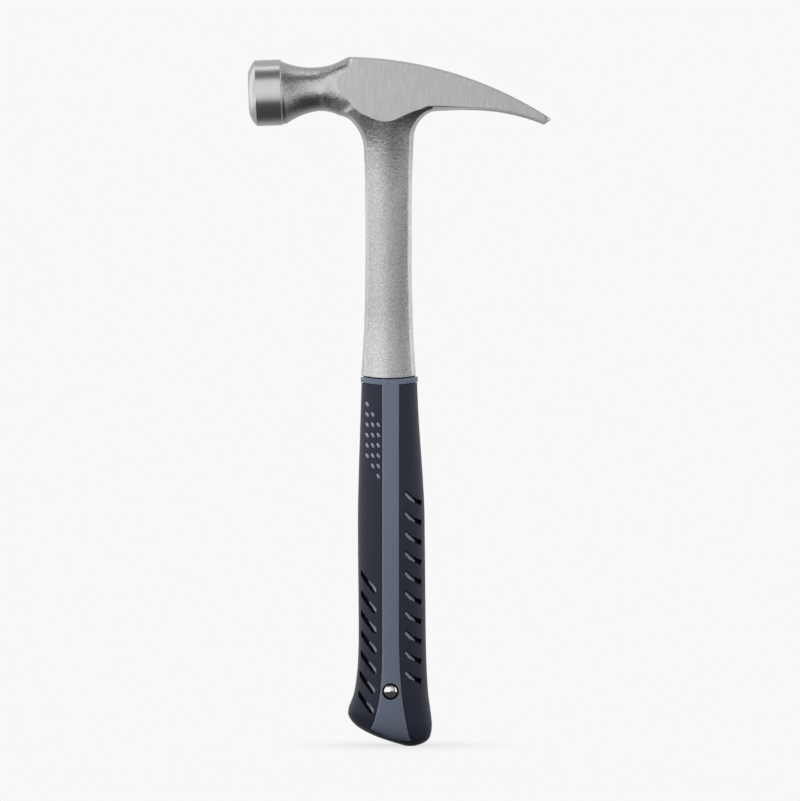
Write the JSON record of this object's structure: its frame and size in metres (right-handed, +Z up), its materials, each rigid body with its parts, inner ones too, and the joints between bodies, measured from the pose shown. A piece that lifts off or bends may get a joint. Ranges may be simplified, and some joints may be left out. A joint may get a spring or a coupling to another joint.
{
  "type": "straight claw hammer",
  "caption": "One-piece steel claw hammer with a round bell, ground cheeks, a straight forked claw, a slim forged shank and a soft two-material grip with a butt rivet.",
  "frame": {"origin": "middle of the bounding box on the level of the butt's end", "axes": "+X from the striking face towards the claw tips, +Y across the ground cheeks away from the front, +Z up the handle"},
  "size_m": [0.1473, 0.032, 0.335],
  "materials": {
    "steel": "forged and sand-blasted, cheeks ground, bell turned",
    "core": "satin moulded plastic",
    "soft": "matte soft moulding",
    "rivet": "polished dome"
  },
  "bodies": {
    "root": {"steel_forging": "steel", "grip_core": "core", "soft_grip": "soft", "rivet_post": "rivet", "rivet_cap": "rivet"}
  },
  "joints": []
}
